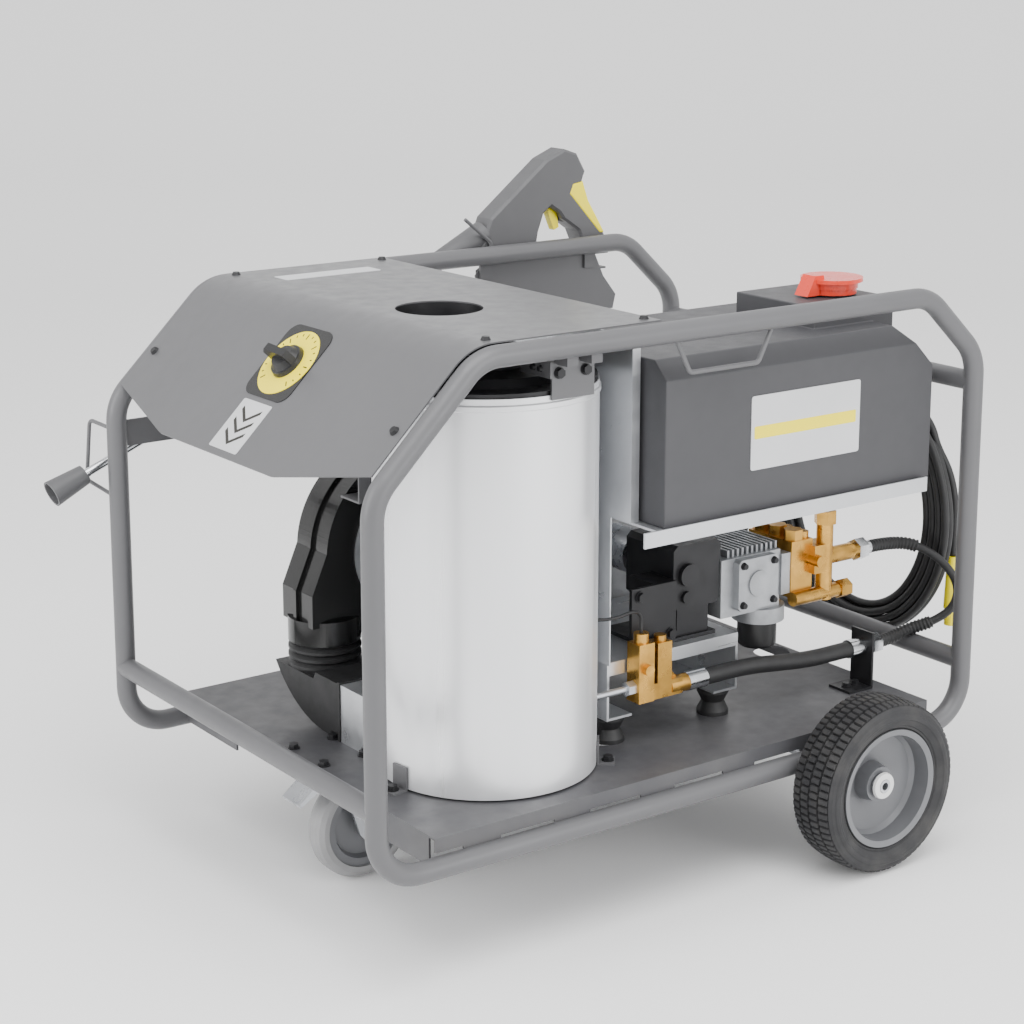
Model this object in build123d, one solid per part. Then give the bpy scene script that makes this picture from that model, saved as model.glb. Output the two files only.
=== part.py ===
from build123d import *
import math
import os

# Engine-driven hot-water pressure washer in a tube cage.
# Millimetres. +X points to the two big wheels, -Y to the side with the pump, +Z up, floor at z = 0.
# The origin is on the floor under the middle of the cage, which is also the middle of the whole machine.

# ---------------------------------------------------------------- cage
CAGE_X = 533.0
CAGE_Y = 353.5
TUBE_R = 15.0
TUBE_WALL = 2.5
CAGE_BOTTOM = 161.0
CAGE_TOP = 829.0
FRONT_POST_TOP = 669.0
REAR_POST_TOP = 732.0
FRONT_ROOF_X = -371.0
REAR_ROOF_X = 429.0
FOOT_BEND = 65.0
ROOF_BEND = 70.0
FRONT_BAR_Z = 259.0
REAR_LOW_BAR_Z = 253.0
REAR_HIGH_BAR_Z = 691.0
OUTER_Y = CAGE_Y + TUBE_R

# ---------------------------------------------------------------- deck and hood
SHEET = 3.0
DECK_TOP = 200.0
DECK_FRONT = -441.0
DECK_REAR = 466.0
DECK_Y = 350.0
DECK_SKIRT = 20.0
APRON_DEPTH = 43.0
APRON_INNER_Y = 180.0
DECK_HOLE_X = 430.0
DECK_HOLE_Y = -38.0
DECK_HOLE_R = 30.0
HOOD_SHEET = 2.0
HOOD_REAR_X = -68.0
HOOD_Y = 345.0
HOOD_APRON_Y = 155.0
HOOD_APRON = 24.0

# ---------------------------------------------------------------- heater
DRUM_X = -226.0
DRUM_Y = -160.0
DRUM_R = 157.0
DRUM_BASE = 203.0
DRUM_TOP = 744.0
FLUE_R = 58.0
FLUE_HOLE_X = -257.0
FLUE_HOLE_Y = -95.0
FLUE_HOLE_R = 61.0

LEAD_FEEDTHROUGH = ((-101, -227.8, 402), (-66, -246.9, 402))

# ---------------------------------------------------------------- burner air path
DUCT_X = -300.0
DUCT_Y = 155.0
DUCT_R = 55.0
FAN_X = -168.0
FAN_Z = 446.0
SCROLL_R = 152.0
SCROLL_NEAR = 112.0
SCROLL_SPLIT = 155.0
SCROLL_FAR = 198.0
SCROLL_WALL = 3.0

# ---------------------------------------------------------------- tank
TANK_X = (-45.0, 470.0)
TANK_Y = (-330.0, -20.0)
TANK_Z = (549.0, 782.0)
CAP_X = 392.0
CAP_Y = -190.0
CAP_BASE = 826.0

# ---------------------------------------------------------------- engine and pump
SHAFT_X = 125.0
SHAFT_Z = 425.0
SHAFT_R = 12.5
PLATFORM_TOP = 328.0
PLATFORM_Y = (-223.0, 285.0)
PUMP_FACE_Y = -222.0
PUMP_X = 230.0
PUMP_Z = 397.0
RISER_X = 370.0

# ---------------------------------------------------------------- running gear
WHEEL_X = 290.0
WHEEL_R = 130.0
WHEEL_WIDTH = 85.0
WHEEL_Y = 414.5
RIM_R = 89.0
AXLE_R = 10.0
CASTER_X = -390.0
CASTER_TRAIL = 50.0
CASTER_R = 80.0
CASTER_WIDTH = 37.0
CASTER_PIN_R = 8.0
RUNNING_GAP = 0.05

# ---------------------------------------------------------------- gun and lance
GUN_Y = 405.0
LANCE_ANGLE = 22.5
LANCE_TIP = (-618.0, 531.0)
TRIGGER_PIVOT = (300.0, 897.0)

# ---------------------------------------------------------------- high-pressure hose
HOSE_R = 6.5
COIL_X = 600.0
COIL_Y = -55.0
COIL_Z = 430.0
COIL_OUTER_Y = 212.0
COIL_OUTER_Z = 226.0
COIL_THICK = 56.0
COIL_WIDTH = 30.0


# ================================================================ helpers
def block(x, y, z):
    """A box between two x, two y and two z values."""
    size = (x[1] - x[0], y[1] - y[0], z[1] - z[0])
    middle = ((x[0] + x[1]) / 2, (y[0] + y[1]) / 2, (z[0] + z[1]) / 2)
    return Pos(*middle) * Box(*size)


def rod(start, end, radius, bore=0.0):
    """A round bar, or a tube when it has a bore, from one point to another."""
    axis = Vector(*end) - Vector(*start)
    place = Plane(origin=start, z_dir=axis)
    align = (Align.CENTER, Align.CENTER, Align.MIN)
    solid = place * Cylinder(radius, axis.length, align=align)
    if bore:
        solid -= place * Cylinder(bore, axis.length, align=align)
    return solid


def cone(start, end, radius_start, radius_end):
    axis = Vector(*end) - Vector(*start)
    place = Plane(origin=start, z_dir=axis)
    return place * Cone(radius_start, radius_end, axis.length, align=(Align.CENTER, Align.CENTER, Align.MIN))


def hex_bar(start, end, across_flats):
    axis = Vector(*end) - Vector(*start)
    sketch = Plane(origin=start, z_dir=axis) * RegularPolygon(across_flats / 2, 6, major_radius=False)
    return extrude(sketch, axis.length, dir=axis.normalized())


def round_sweep(line, radius):
    """A round bar along a line that starts with a straight run."""
    return sweep(Plane(origin=line @ 0, z_dir=line % 0) * Circle(radius), path=line)


def bent_bar(points, radii, radius):
    return round_sweep(FilletPolyline(*points, radius=radii), radius)


def profile_y(points, near, far):
    """An outline of (x, z) points, pushed from one y to another."""
    face = make_face(Polyline(*[(x, near, z) for x, z in points], close=True))
    return extrude(face, far - near, dir=(0, 1, 0))


def turned(points, origin, axis):
    """A closed outline of (radius, height) points, turned about an axis."""
    outline = make_face(Polyline(*[(r, 0, h) for r, h in points], close=True))
    return Plane(origin=origin, z_dir=axis) * revolve(outline, Axis.Z)


def tangent_radii(points):
    """Arc radii for a hose: 0.45 of the shorter run beside each corner, over the tangent of half the turn."""
    radii = []
    for before, corner, after in zip(points, points[1:], points[2:]):
        run_in = Vector(*corner) - Vector(*before)
        run_out = Vector(*after) - Vector(*corner)
        half_turn = math.radians(run_in.get_angle(run_out)) / 2
        radii.append(0.45 * min(run_in.length, run_out.length) / math.tan(half_turn))
    return radii


def hose(name, points, radius):
    """A flexible round hose through hand-placed points, with its bend radii printed."""
    radii = tangent_radii(points)
    line = FilletPolyline(*points, radius=radii)
    solid = round_sweep(line, radius)
    expected = math.pi * radius**2 * line.length
    print(f"{name}: length {line.length:.0f}, volume ratio {solid.volume / expected:.4f}")
    print("   radii " + " ".join(f"{r:.0f}" for r in radii))
    return solid


# ================================================================ cage
def side_loop(y, radius):
    corners = [
        (-CAGE_X, y, CAGE_BOTTOM),
        (CAGE_X, y, CAGE_BOTTOM),
        (CAGE_X, y, REAR_POST_TOP),
        (REAR_ROOF_X, y, CAGE_TOP),
        (FRONT_ROOF_X, y, CAGE_TOP),
        (-CAGE_X, y, FRONT_POST_TOP),
    ]
    bends = [FOOT_BEND, FOOT_BEND, ROOF_BEND, ROOF_BEND, ROOF_BEND, ROOF_BEND]
    return round_sweep(FilletPolyline(*corners, radius=bends, close=True), radius)


SOLID_LOOPS = {y: side_loop(y, TUBE_R) for y in (-CAGE_Y, CAGE_Y)}


def hollow_loop(y):
    return SOLID_LOOPS[y] - side_loop(y, TUBE_R - TUBE_WALL)


def clear_of_loops(solid):
    """Copes a piece to the outside of both loops."""
    return solid - SOLID_LOOPS[-CAGE_Y] - SOLID_LOOPS[CAGE_Y]


def frame_crossbars():
    """Three cross tubes, coped to fit the posts of the two loops."""
    bars = Part()
    for x, z in ((-CAGE_X, FRONT_BAR_Z), (CAGE_X, REAR_LOW_BAR_Z), (CAGE_X, REAR_HIGH_BAR_Z)):
        bars += rod((x, -CAGE_Y, z), (x, CAGE_Y, z), TUBE_R, TUBE_R - TUBE_WALL)
    return clear_of_loops(bars)


def frame_hooks():
    """Bent wire welded to the cage: a tie hoop, the lance hook and the hose hook."""
    hoop = bent_bar(
        [(-48, -CAGE_Y, 817), (-24, -CAGE_Y, 770), (99, -CAGE_Y, 770), (123, -CAGE_Y, 817)],
        [9, 9],
        3.5,
    )
    lance = bent_bar(
        [(-535, OUTER_Y, 627), (-540, 431, 630), (-548, 431, 538), (-535, OUTER_Y, 524)],
        [9, 9],
        3.0,
    )
    root_x = CAGE_X + TUBE_R + 5
    tip_x = 620.8
    hanger = bent_bar(
        [
            (root_x, COIL_Y, REAR_HIGH_BAR_Z + 8),
            (root_x, COIL_Y, 590),
            (tip_x, COIL_Y, 590),
            (tip_x, COIL_Y, 626),
        ],
        [16, 10],
        5.0,
    )
    return clear_of_loops(hoop + lance) + hanger


# ================================================================ sheet metal
def deck():
    """The chassis plate with its welded skirts, aprons and axle brackets, each a solid of its own."""
    under = DECK_TOP - SHEET
    plate = block((DECK_FRONT, DECK_REAR), (-DECK_Y, DECK_Y), (under, DECK_TOP))
    for x, y, radius in ((-40, -187, 30), (DECK_HOLE_X, DECK_HOLE_Y, DECK_HOLE_R)):
        plate -= Pos(x, y, DECK_TOP) * Cylinder(radius, 3 * SHEET)
    for x, y in caster_bolts():
        plate -= Pos(x, y, DECK_TOP) * Cylinder(4, 3 * SHEET)
    solids = [plate]
    for side in (-1, 1):
        skirt_y = sorted((side * DECK_Y, side * (DECK_Y - SHEET)))
        skirt = block((DECK_FRONT, DECK_REAR), skirt_y, (DECK_TOP - DECK_SKIRT, under))
        for step in range(6):
            x = DECK_FRONT + 45 + 150 * step
            skirt += block((x, x + 60), skirt_y, (CAGE_BOTTOM + TUBE_R - 0.4, under))
        apron_y = sorted((side * 335, side * APRON_INNER_Y))
        apron = block((DECK_FRONT, DECK_FRONT + SHEET), apron_y, (DECK_TOP - APRON_DEPTH, under))
        bracket_y = (side * 300 - 2.5, side * 300 + 2.5)
        bracket = block((WHEEL_X - 28, WHEEL_X + 28), bracket_y, (WHEEL_R - 22, under))
        bracket -= rod((WHEEL_X, side * 300 - 5, WHEEL_R), (WHEEL_X, side * 300 + 5, WHEEL_R), AXLE_R)
        solids += [skirt, apron, bracket]
    solids.append(block((DECK_REAR - SHEET, DECK_REAR), (-335, 335), (DECK_TOP - DECK_SKIRT, under)))
    return Compound([solid for part in solids for solid in part.solids()])


def slope(s, y, h):
    """A point on the slanted front of the cage: s up the slope, y across, h out of it from the tube axis."""
    run = Vector(FRONT_ROOF_X + CAGE_X, 0, CAGE_TOP - FRONT_POST_TOP).normalized()
    out = Vector(-run.Z, 0, run.X)
    return Vector(-CAGE_X, y, FRONT_POST_TOP) + run * s + out * h


def slope_plane(s, y, h):
    """A plane on the slanted front: local x up the slope, local y across, local z outwards."""
    up = slope(1, 0, 0) - slope(0, 0, 0)
    out = slope(0, 0, 1) - slope(0, 0, 0)
    return Plane(origin=slope(s, y, h), x_dir=up, z_dir=out)


def hood_line(height):
    """The side view of one face of the hood, at a height above the axis of the tubes that it lies on."""
    roof_z = CAGE_TOP + height
    start = slope(0, -HOOD_Y, height)
    up = slope(1, 0, 0) - slope(0, 0, 0)
    corner = start + up * ((roof_z - start.Z) / up.Z)
    return FilletPolyline(
        (HOOD_REAR_X, -HOOD_Y, roof_z),
        corner,
        slope(-HOOD_APRON, -HOOD_Y, height),
        radius=ROOF_BEND + height,
    )


def hood():
    """One bent sheet that lies on both loops, with a flue hole and a tapered lower edge."""
    inner = hood_line(TUBE_R)
    outer = hood_line(TUBE_R + HOOD_SHEET)
    edges = [inner, Line(inner @ 1, outer @ 1), outer, Line(outer @ 0, inner @ 0)]
    sheet = extrude(make_face(edges), 2 * HOOD_Y, dir=(0, 1, 0))
    lower_edge = Polyline(
        (60, -HOOD_Y),
        (HOOD_APRON, -HOOD_Y),
        (-HOOD_APRON, -HOOD_APRON_Y),
        (-HOOD_APRON, HOOD_APRON_Y),
        (HOOD_APRON, HOOD_Y),
        (60, HOOD_Y),
        close=True,
    )
    kept = make_face(lower_edge)
    kept = fillet(kept.vertices().filter_by(lambda v: abs(abs(v.Y) - HOOD_APRON_Y) < 1), 45)
    waste = Rectangle(120, 2 * HOOD_Y + 20) - kept
    sheet -= extrude(slope_plane(0, 0, TUBE_R - 3) * waste, 3 * HOOD_SHEET + 2)
    sheet -= Pos(FLUE_HOLE_X, FLUE_HOLE_Y, CAGE_TOP + TUBE_R) * Cylinder(FLUE_HOLE_R, 4 * HOOD_SHEET)
    sheet -= slope_plane(DIAL_S, DIAL_ACROSS, TUBE_R) * Cylinder(8, 4 * HOOD_SHEET)
    return sheet


# ================================================================ dial
DIAL_S = 137.0
DIAL_ACROSS = -11.0
DIAL_FACE = TUBE_R + HOOD_SHEET
STEM_R = 4.0


def dial_plate():
    outline = RectangleRounded(122, 112, 20) - Circle(8)
    return extrude(slope_plane(DIAL_S, DIAL_ACROSS, DIAL_FACE) * outline, 1.0)


def dial_knob():
    """The burner thermostat knob: stem, skirt and a raised pointer wing."""
    place = slope_plane(DIAL_S, DIAL_ACROSS, DIAL_FACE)
    up = (Align.CENTER, Align.CENTER, Align.MIN)
    knob = Pos(0, 0, -30) * Cylinder(STEM_R, 34, align=up)
    knob += Pos(0, 0, 1.4) * Cone(27, 25, 7, align=up)
    knob += Pos(0, 0, 8.4) * Cone(22, 17, 9, align=up)
    wing = make_face(Polyline((0, -24, 8), (0, 34, 8), (0, 36, 22), (0, 22, 33), (0, -20, 27), close=True))
    knob += extrude(wing, 5.5, dir=(1, 0, 0), both=True)
    return place * knob


def thermostat_body():
    place = slope_plane(DIAL_S, DIAL_ACROSS, TUBE_R)
    case = Pos(0, 0, -20) * Box(50, 46, 40)
    case -= Pos(0, 0, -20) * Cylinder(STEM_R + RUNNING_GAP, 42)
    return place * case


# ================================================================ heater
def drum_jacket():
    """The round sheet jacket of the water heater, with a bead near its rim and an air window at its foot."""
    wall = 2.0
    inner = DRUM_R - wall
    outline = [
        (0, DRUM_BASE),
        (DRUM_R, DRUM_BASE),
        (DRUM_R, DRUM_TOP - 4),
        (DRUM_R + 2, DRUM_TOP - 2),
        (DRUM_R + 2, DRUM_TOP + 4),
        (DRUM_R, DRUM_TOP + 6),
        (DRUM_R, DRUM_TOP + 14),
        (inner, DRUM_TOP + 14),
        (inner, DRUM_BASE + wall),
        (0, DRUM_BASE + wall),
    ]
    jacket = turned(outline, (DRUM_X, DRUM_Y, 0), (0, 0, 1))
    jacket -= block((-345, -258), (-70, 20), (215, 280))
    jacket -= rod((-150, -240, 290), (-60, -240, 290), 7)
    jacket -= rod(LEAD_FEEDTHROUGH[0], LEAD_FEEDTHROUGH[1], 3.5)
    return jacket


def drum_lid():
    """The dark cover over the heater, stepped up to the flue."""
    outline = [
        (FLUE_R - 3, DRUM_TOP + 26),
        (FLUE_R + 2, DRUM_TOP + 26),
        (112, DRUM_TOP + 24),
        (124, DRUM_TOP + 16),
        (150, DRUM_TOP + 14.5),
        (150, DRUM_TOP + 2),
        (154, DRUM_TOP + 2),
        (154, DRUM_TOP + 20),
        (128, DRUM_TOP + 22),
        (116, DRUM_TOP + 32),
        (FLUE_R - 3, DRUM_TOP + 34),
    ]
    return turned(outline, (DRUM_X, DRUM_Y, 0), (0, 0, 1))


def flue_collar():
    base = DRUM_TOP + 34
    outline = [
        (FLUE_R - 3, base),
        (FLUE_R + 8, base),
        (FLUE_R + 8, base + 3),
        (FLUE_R, base + 3),
        (FLUE_R, base + 14),
        (FLUE_R + 4, base + 16),
        (FLUE_R + 4, base + 19),
        (FLUE_R - 3, base + 19),
    ]
    return turned(outline, (DRUM_X, DRUM_Y, 0), (0, 0, 1))


def heating_coil():
    """The pipe coil in the heater, each of its turns drawn as a closed ring on a common wall."""
    pipe_r = 8.0
    turn_r = 128.0
    turns = 18
    pitch = 24.0
    first = DRUM_BASE + 60
    section = Pos(turn_r, first + pitch * (turns - 1) / 2) * Rectangle(3, pitch * (turns - 1))
    for turn in range(turns):
        section += Pos(turn_r, first + pitch * turn) * Circle(pipe_r)
    upright = Plane(origin=(0, 0, 0), x_dir=(1, 0, 0), z_dir=(0, -1, 0)) * section
    return Pos(DRUM_X, DRUM_Y, 0) * revolve(upright, Axis.Z)


def steel_brackets():
    """Folded steel: the heater's top angle and three feet, the blower's strap and the lance strap."""
    angle = block((-232, -162), (-321, -318), (752, 803))
    angle += block((-235, -232), (-321, -255), (781, 803))
    for x in (-226, -186):
        angle += block((x, x + 18), (-346, -318), (800, 816.5))
    feet = Part()
    for degrees in FOOT_ANGLES:
        foot = block((DRUM_R + 0.5, DRUM_R + 3.5), (-14, 14), (DECK_TOP, DECK_TOP + 35))
        foot += block((DRUM_R + 0.5, DRUM_R + 26), (-14, 14), (DECK_TOP, DECK_TOP + 3))
        feet += Pos(DRUM_X, DRUM_Y, 0) * Rot(0, 0, degrees) * foot
    strap = block((-296, -276), (58, 61), (540, 842))
    strap += block((-296, -256), (58, 109), (540, 543))
    lance_strap = profile_y([(-519, 637), (-430, 637), (-412, 597), (-519, 597)], OUTER_Y, OUTER_Y + 3)
    return clear_of_loops(angle) + feet + strap + lance_strap


FOOT_ANGLES = (187, -38, 80)


# ================================================================ burner air path
def clear_of_caster_bolts(solid):
    """Notches a piece that stands on the deck beside the caster's bolt heads."""
    for x, y in caster_bolts():
        solid -= rod((x, y, DECK_TOP - 1), (x, y, DECK_TOP + 9), 9.5)
    return solid


def air_box():
    """The open saddle box that leads the air into the foot of the heater."""
    box = block((-355, -245), (-76, 22), (DECK_TOP, 287))
    box -= block((-353, -247), (-80, 24), (DECK_TOP + 2, 285))
    box -= Pos(DRUM_X, DRUM_Y, 250) * Cylinder(DRUM_R + 0.5, 200)
    return clear_of_caster_bolts(box)


def air_boot():
    """The moulded rubber elbow with its flange, three bellows folds and open bore."""
    wall = 3.0
    outline = [
        Line((22, DECK_TOP + 1.5), (62, DECK_TOP + 1.5)),
        TangentArc((62, DECK_TOP + 1.5), (DUCT_Y + DUCT_R, 275), tangent=(1, 0)),
        Line((DUCT_Y + DUCT_R, 275), (DUCT_Y - DUCT_R, 275)),
        Line((DUCT_Y - DUCT_R, 275), (94, 286)),
        Line((94, 286), (22, 286)),
        Line((22, 286), (22, DECK_TOP + 1.5)),
    ]
    side = make_face(outline)
    outer = extrude(Plane(origin=(DUCT_X, 0, 0), x_dir=(0, 1, 0), z_dir=(1, 0, 0)) * side, 54, both=True)
    core = offset(side, -wall)
    across = Plane(origin=(DUCT_X, 0, 0), x_dir=(0, 1, 0), z_dir=(1, 0, 0))
    inner = extrude(across * core, 54 - wall, both=True)
    elbow = outer + block((-357, -243), (22.2, 28), (DECK_TOP + 0.5, 290))
    elbow -= inner
    elbow -= block((-351, -249), (20, 40), (DECK_TOP + 5, 283))
    folds = [(DUCT_R - 8, 268), (DUCT_R - 1, 274)]
    for fold in range(3):
        folds.append((DUCT_R, 278 + 12 * fold))
        folds.append((DUCT_R, 282 + 12 * fold))
        folds.append((DUCT_R - 5, 286 + 12 * fold))
    folds.append((DUCT_R, 314.5))
    folds.append((DUCT_R - 8, 314.5))
    elbow += turned(folds, (DUCT_X, DUCT_Y, 0), (0, 0, 1))
    elbow -= rod((DUCT_X, DUCT_Y, 250), (DUCT_X, DUCT_Y, 330), DUCT_R - 8)
    return clear_of_caster_bolts(elbow)


def scroll(grow):
    """The outline of the blower casing in its side view, shrunk or grown by an offset."""
    throat = make_face(
        Polyline((-346, 345), (-346, 395), (-320, 455), (-200, 440), (-246, 345), close=True)
    )
    outline = Pos(FAN_X, FAN_Z) * Circle(SCROLL_R) + throat
    return offset(outline, grow) if grow else outline


def blower_half(outer_y, eye_r):
    """Half of the snail casing, from its parting plane out to outer_y, with a round eye in its wall."""
    side = 1 if outer_y > SCROLL_SPLIT else -1
    parting = Plane(origin=(0, SCROLL_SPLIT, 0), x_dir=(1, 0, 0), z_dir=(0, -1, 0))
    depth = abs(outer_y - SCROLL_SPLIT)
    half = extrude(parting * scroll(0), -side * depth)
    half += extrude(parting * scroll(5), -side * 4) - block((-400, 0), (0, 300), (200, 352))
    spout = rod((DUCT_X, DUCT_Y, 315), (DUCT_X, DUCT_Y, 352), DUCT_R)
    own_side = block((-400, -200), sorted((SCROLL_SPLIT, SCROLL_SPLIT + side * 60)), (300, 400))
    half += spout & own_side
    half -= extrude(parting * scroll(-SCROLL_WALL), -side * (depth - SCROLL_WALL))
    half -= rod((DUCT_X, DUCT_Y, 310), (DUCT_X, DUCT_Y, 344), DUCT_R - SCROLL_WALL)
    half -= rod((DUCT_X, DUCT_Y, 343), (DUCT_X, DUCT_Y, 353), 40)
    return half - rod((FAN_X, outer_y - 8, FAN_Z), (FAN_X, outer_y + 8, FAN_Z), eye_r)


FAN_SHAFT_R = 6.0


def blower_motor():
    """The closed motor on the near side of the blower, with its round flange."""
    motor = rod((FAN_X, SCROLL_NEAR - 3, FAN_Z), (FAN_X, SCROLL_NEAR, FAN_Z), 104)
    motor += rod((FAN_X, 34, FAN_Z), (FAN_X, SCROLL_NEAR - 3, FAN_Z), 50)
    motor += rod((FAN_X, 28, FAN_Z), (FAN_X, 34, FAN_Z), 40)
    motor -= rod((FAN_X, 44, FAN_Z), (FAN_X, SCROLL_NEAR + 1, FAN_Z), FAN_SHAFT_R + RUNNING_GAP)
    return motor


def blower_fan():
    """A drum fan: shaft, hub, back plate, a ring of blades and a front ring."""
    fan = rod((FAN_X, 45, FAN_Z), (FAN_X, 150, FAN_Z), FAN_SHAFT_R)
    fan += rod((FAN_X, 120, FAN_Z), (FAN_X, 140, FAN_Z), 16)
    fan += rod((FAN_X, 120, FAN_Z), (FAN_X, 123, FAN_Z), 110)
    fan += rod((FAN_X, 184, FAN_Z), (FAN_X, 187, FAN_Z), 110, 84)
    blades = 24
    for blade in range(blades):
        vane = block((86, 109), (120, 187), (-1.2, 1.2))
        fan += Pos(FAN_X, 0, FAN_Z) * Rot(0, 360 / blades * blade, 0) * vane
    return fan


# ================================================================ tank
def tank_body(inset):
    """The moulded tank grown inwards by an inset: bevelled near edges and a raised filler shoulder."""
    x0, x1 = TANK_X
    y0, y1 = TANK_Y
    z0, z1 = TANK_Z
    main = block((x0 + inset, x1 - inset), (y0 + inset, y1 - inset), (z0 + inset, z1 - inset))
    corner_cut = block((0, 90), (-200, 200), (0, 90))
    main -= Pos(x1 - 62 - inset * 0.4, (y0 + y1) / 2, z1 - inset * 0.4) * Rot(0, 45, 0) * corner_cut
    top_edge = main.edges().filter_by(Axis.X).group_by(Axis.Y)[0].sort_by(Axis.Z)[-1]
    main = chamfer(top_edge, 26)
    shoulder = block((290 + inset, 452 - inset), (-262 + inset, -90 - inset), (z1 - 60, 815 - inset))
    return main + shoulder


def tank():
    body = tank_body(0.0) - tank_body(4.0)
    body += rod((CAP_X, CAP_Y, 812), (CAP_X, CAP_Y, CAP_BASE), 30)
    body -= rod((CAP_X, CAP_Y, 800), (CAP_X, CAP_Y, CAP_BASE + 1), 26)
    return body


def filler_cap():
    """A quarter-turn cap: skirt over the neck, broad red plate and a grip lug."""
    cap = rod((CAP_X, CAP_Y, CAP_BASE + 0.4), (CAP_X, CAP_Y, CAP_BASE + 10), 40)
    cap += rod((CAP_X, CAP_Y, CAP_BASE - 8), (CAP_X, CAP_Y, CAP_BASE + 2), 38)
    cap -= rod((CAP_X, CAP_Y, CAP_BASE - 9), (CAP_X, CAP_Y, CAP_BASE + 0.4), 30 + RUNNING_GAP)
    cap += rod((CAP_X, CAP_Y, CAP_BASE + 10), (CAP_X, CAP_Y, CAP_BASE + 16), 47)
    lug = profile_y([(-62, -8), (-22, -8), (-30, 22), (-46, 22)], -14, 14)
    cap += Pos(CAP_X, CAP_Y, CAP_BASE) * (lug - rod((0, 0, -10), (0, 0, 9.9), 39.9))
    return cap


def tank_tray():
    """The bright tray under the tank, with a turned-down lip along the near side."""
    tray = block((-58, 456), (-338, -20), (545, 548.5))
    tray += block((-88, 456), (-341, -338), (530, 552))
    tray += block((453, 456), (-338, -20), (530, 548.5))
    return tray


def bulkhead_panel():
    """The upright sheet between heater and tank, with a bright folded edge."""
    panel = block((-64, -62), (-280, 95), (549, 812))
    panel += block((-64, -62), (-235, 95), (328.5, 549))
    panel += block((-64, -50), (-280, -278), (549, 812))
    return panel


# ================================================================ engine
def engine_platform():
    """The folded table under the engine."""
    near = PLATFORM_Y[0]
    table = block((-58, 190), PLATFORM_Y, (PLATFORM_TOP - 4, PLATFORM_TOP))
    table += block((-58, 190), (near, near + 3), (PLATFORM_TOP - 20, PLATFORM_TOP))
    for x in ((-58, -54), (186, 190)):
        table += block(x, PLATFORM_Y, (243, PLATFORM_TOP))
    for x in ((-58, -12), (144, 190)):
        table += block(x, PLATFORM_Y, (240, 243.5))
    return table


def rubber_mounts():
    """Four waisted rubber mounts between the deck and the engine platform."""
    outline = [(0, 200), (24, 200), (24, 206), (17, 220), (24, 234), (24, 240), (0, 240)]
    mounts = Part()
    for x in (-34, 166):
        for y in (-196, 252):
            mounts += turned(outline, (x, y, 0), (0, 0, 1))
    return mounts


def engine_block():
    """Crankcase, finned cylinder, head, fan housing and silencer of the engine."""
    engine = block((20, 230), (20, 235), (PLATFORM_TOP, 500))
    engine += rod((SHAFT_X, 235, SHAFT_Z), (SHAFT_X, 300, SHAFT_Z), 95)
    engine -= rod((SHAFT_X, 238, SHAFT_Z), (SHAFT_X, 293, SHAFT_Z), 86)
    engine -= rod((SHAFT_X, 290, SHAFT_Z), (SHAFT_X, 305, SHAFT_Z), 30)
    engine += rod((SHAFT_X, 128, 498), (SHAFT_X, 128, 690), 52)
    for fin in range(12):
        z = 512 + 13 * fin
        engine += block((SHAFT_X - 72, SHAFT_X + 72), (66, 190), (z, z + 4))
    engine += block((SHAFT_X - 66, SHAFT_X + 66), (70, 186), (672, 720))
    engine += block((235, 330), (90, 230), (560, 690)) + rod((190, 150, 600), (240, 150, 600), 16)
    engine -= rod((SHAFT_X, 10, SHAFT_Z), (SHAFT_X, 240, SHAFT_Z), SHAFT_R + RUNNING_GAP)
    return engine


def drive_shaft():
    """Crankshaft end, flywheel and pump coupling, turning as one."""
    shaft = rod((SHAFT_X, -180, SHAFT_Z), (SHAFT_X, 288, SHAFT_Z), SHAFT_R)
    shaft += rod((SHAFT_X, 246, SHAFT_Z), (SHAFT_X, 276, SHAFT_Z), 80)
    shaft += rod((SHAFT_X, -70, SHAFT_Z), (SHAFT_X, -5, SHAFT_Z), 34)
    return shaft


# ================================================================ pump
def pump_gearbox():
    """The dark reduction gearbox with an oil plug and the bright plate that carries it."""
    case = block((78, 168), (-205, -95), (376, 474))
    case = chamfer(case.edges().filter_by(Axis.Y), 8)
    case += rod((104, -213, 428), (104, -205, 428), 17)
    case += rod((102, -211, 394), (102, -205, 394), 9)
    case += block((-5, 78), (-212, -206), (332, 425)) + block((40, 78), (-206, -150), (400, 425))
    case += block((30, 160), (-206, -100), (328, 334)) + block((90, 150), (-200, -110), (334, 376))
    case -= rod((SHAFT_X, -182, SHAFT_Z), (SHAFT_X, -90, SHAFT_Z), SHAFT_R + RUNNING_GAP)
    return case


def pump_crankcase():
    """The finned aluminium crankcase with its square near cover, side block and lower cup."""
    case = block((168, 285), (-208, -110), (348, 438))
    for fin in range(11):
        x = 186 + 9.5 * fin
        case += block((x, x + 4), (-200, -114), (438, 449))
    cover = block((191, 269), (PUMP_FACE_Y, -208), (358, 437))
    case += chamfer(cover.edges().filter_by(Axis.Y), 5)
    case += rod((PUMP_X, PUMP_FACE_Y - 3, PUMP_Z), (PUMP_X, PUMP_FACE_Y, PUMP_Z), 20)
    case += block((285, 303), (-212, -114), (366, 430))
    case += rod((268, -180, 326), (268, -180, 349), 40)
    return case


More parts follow.
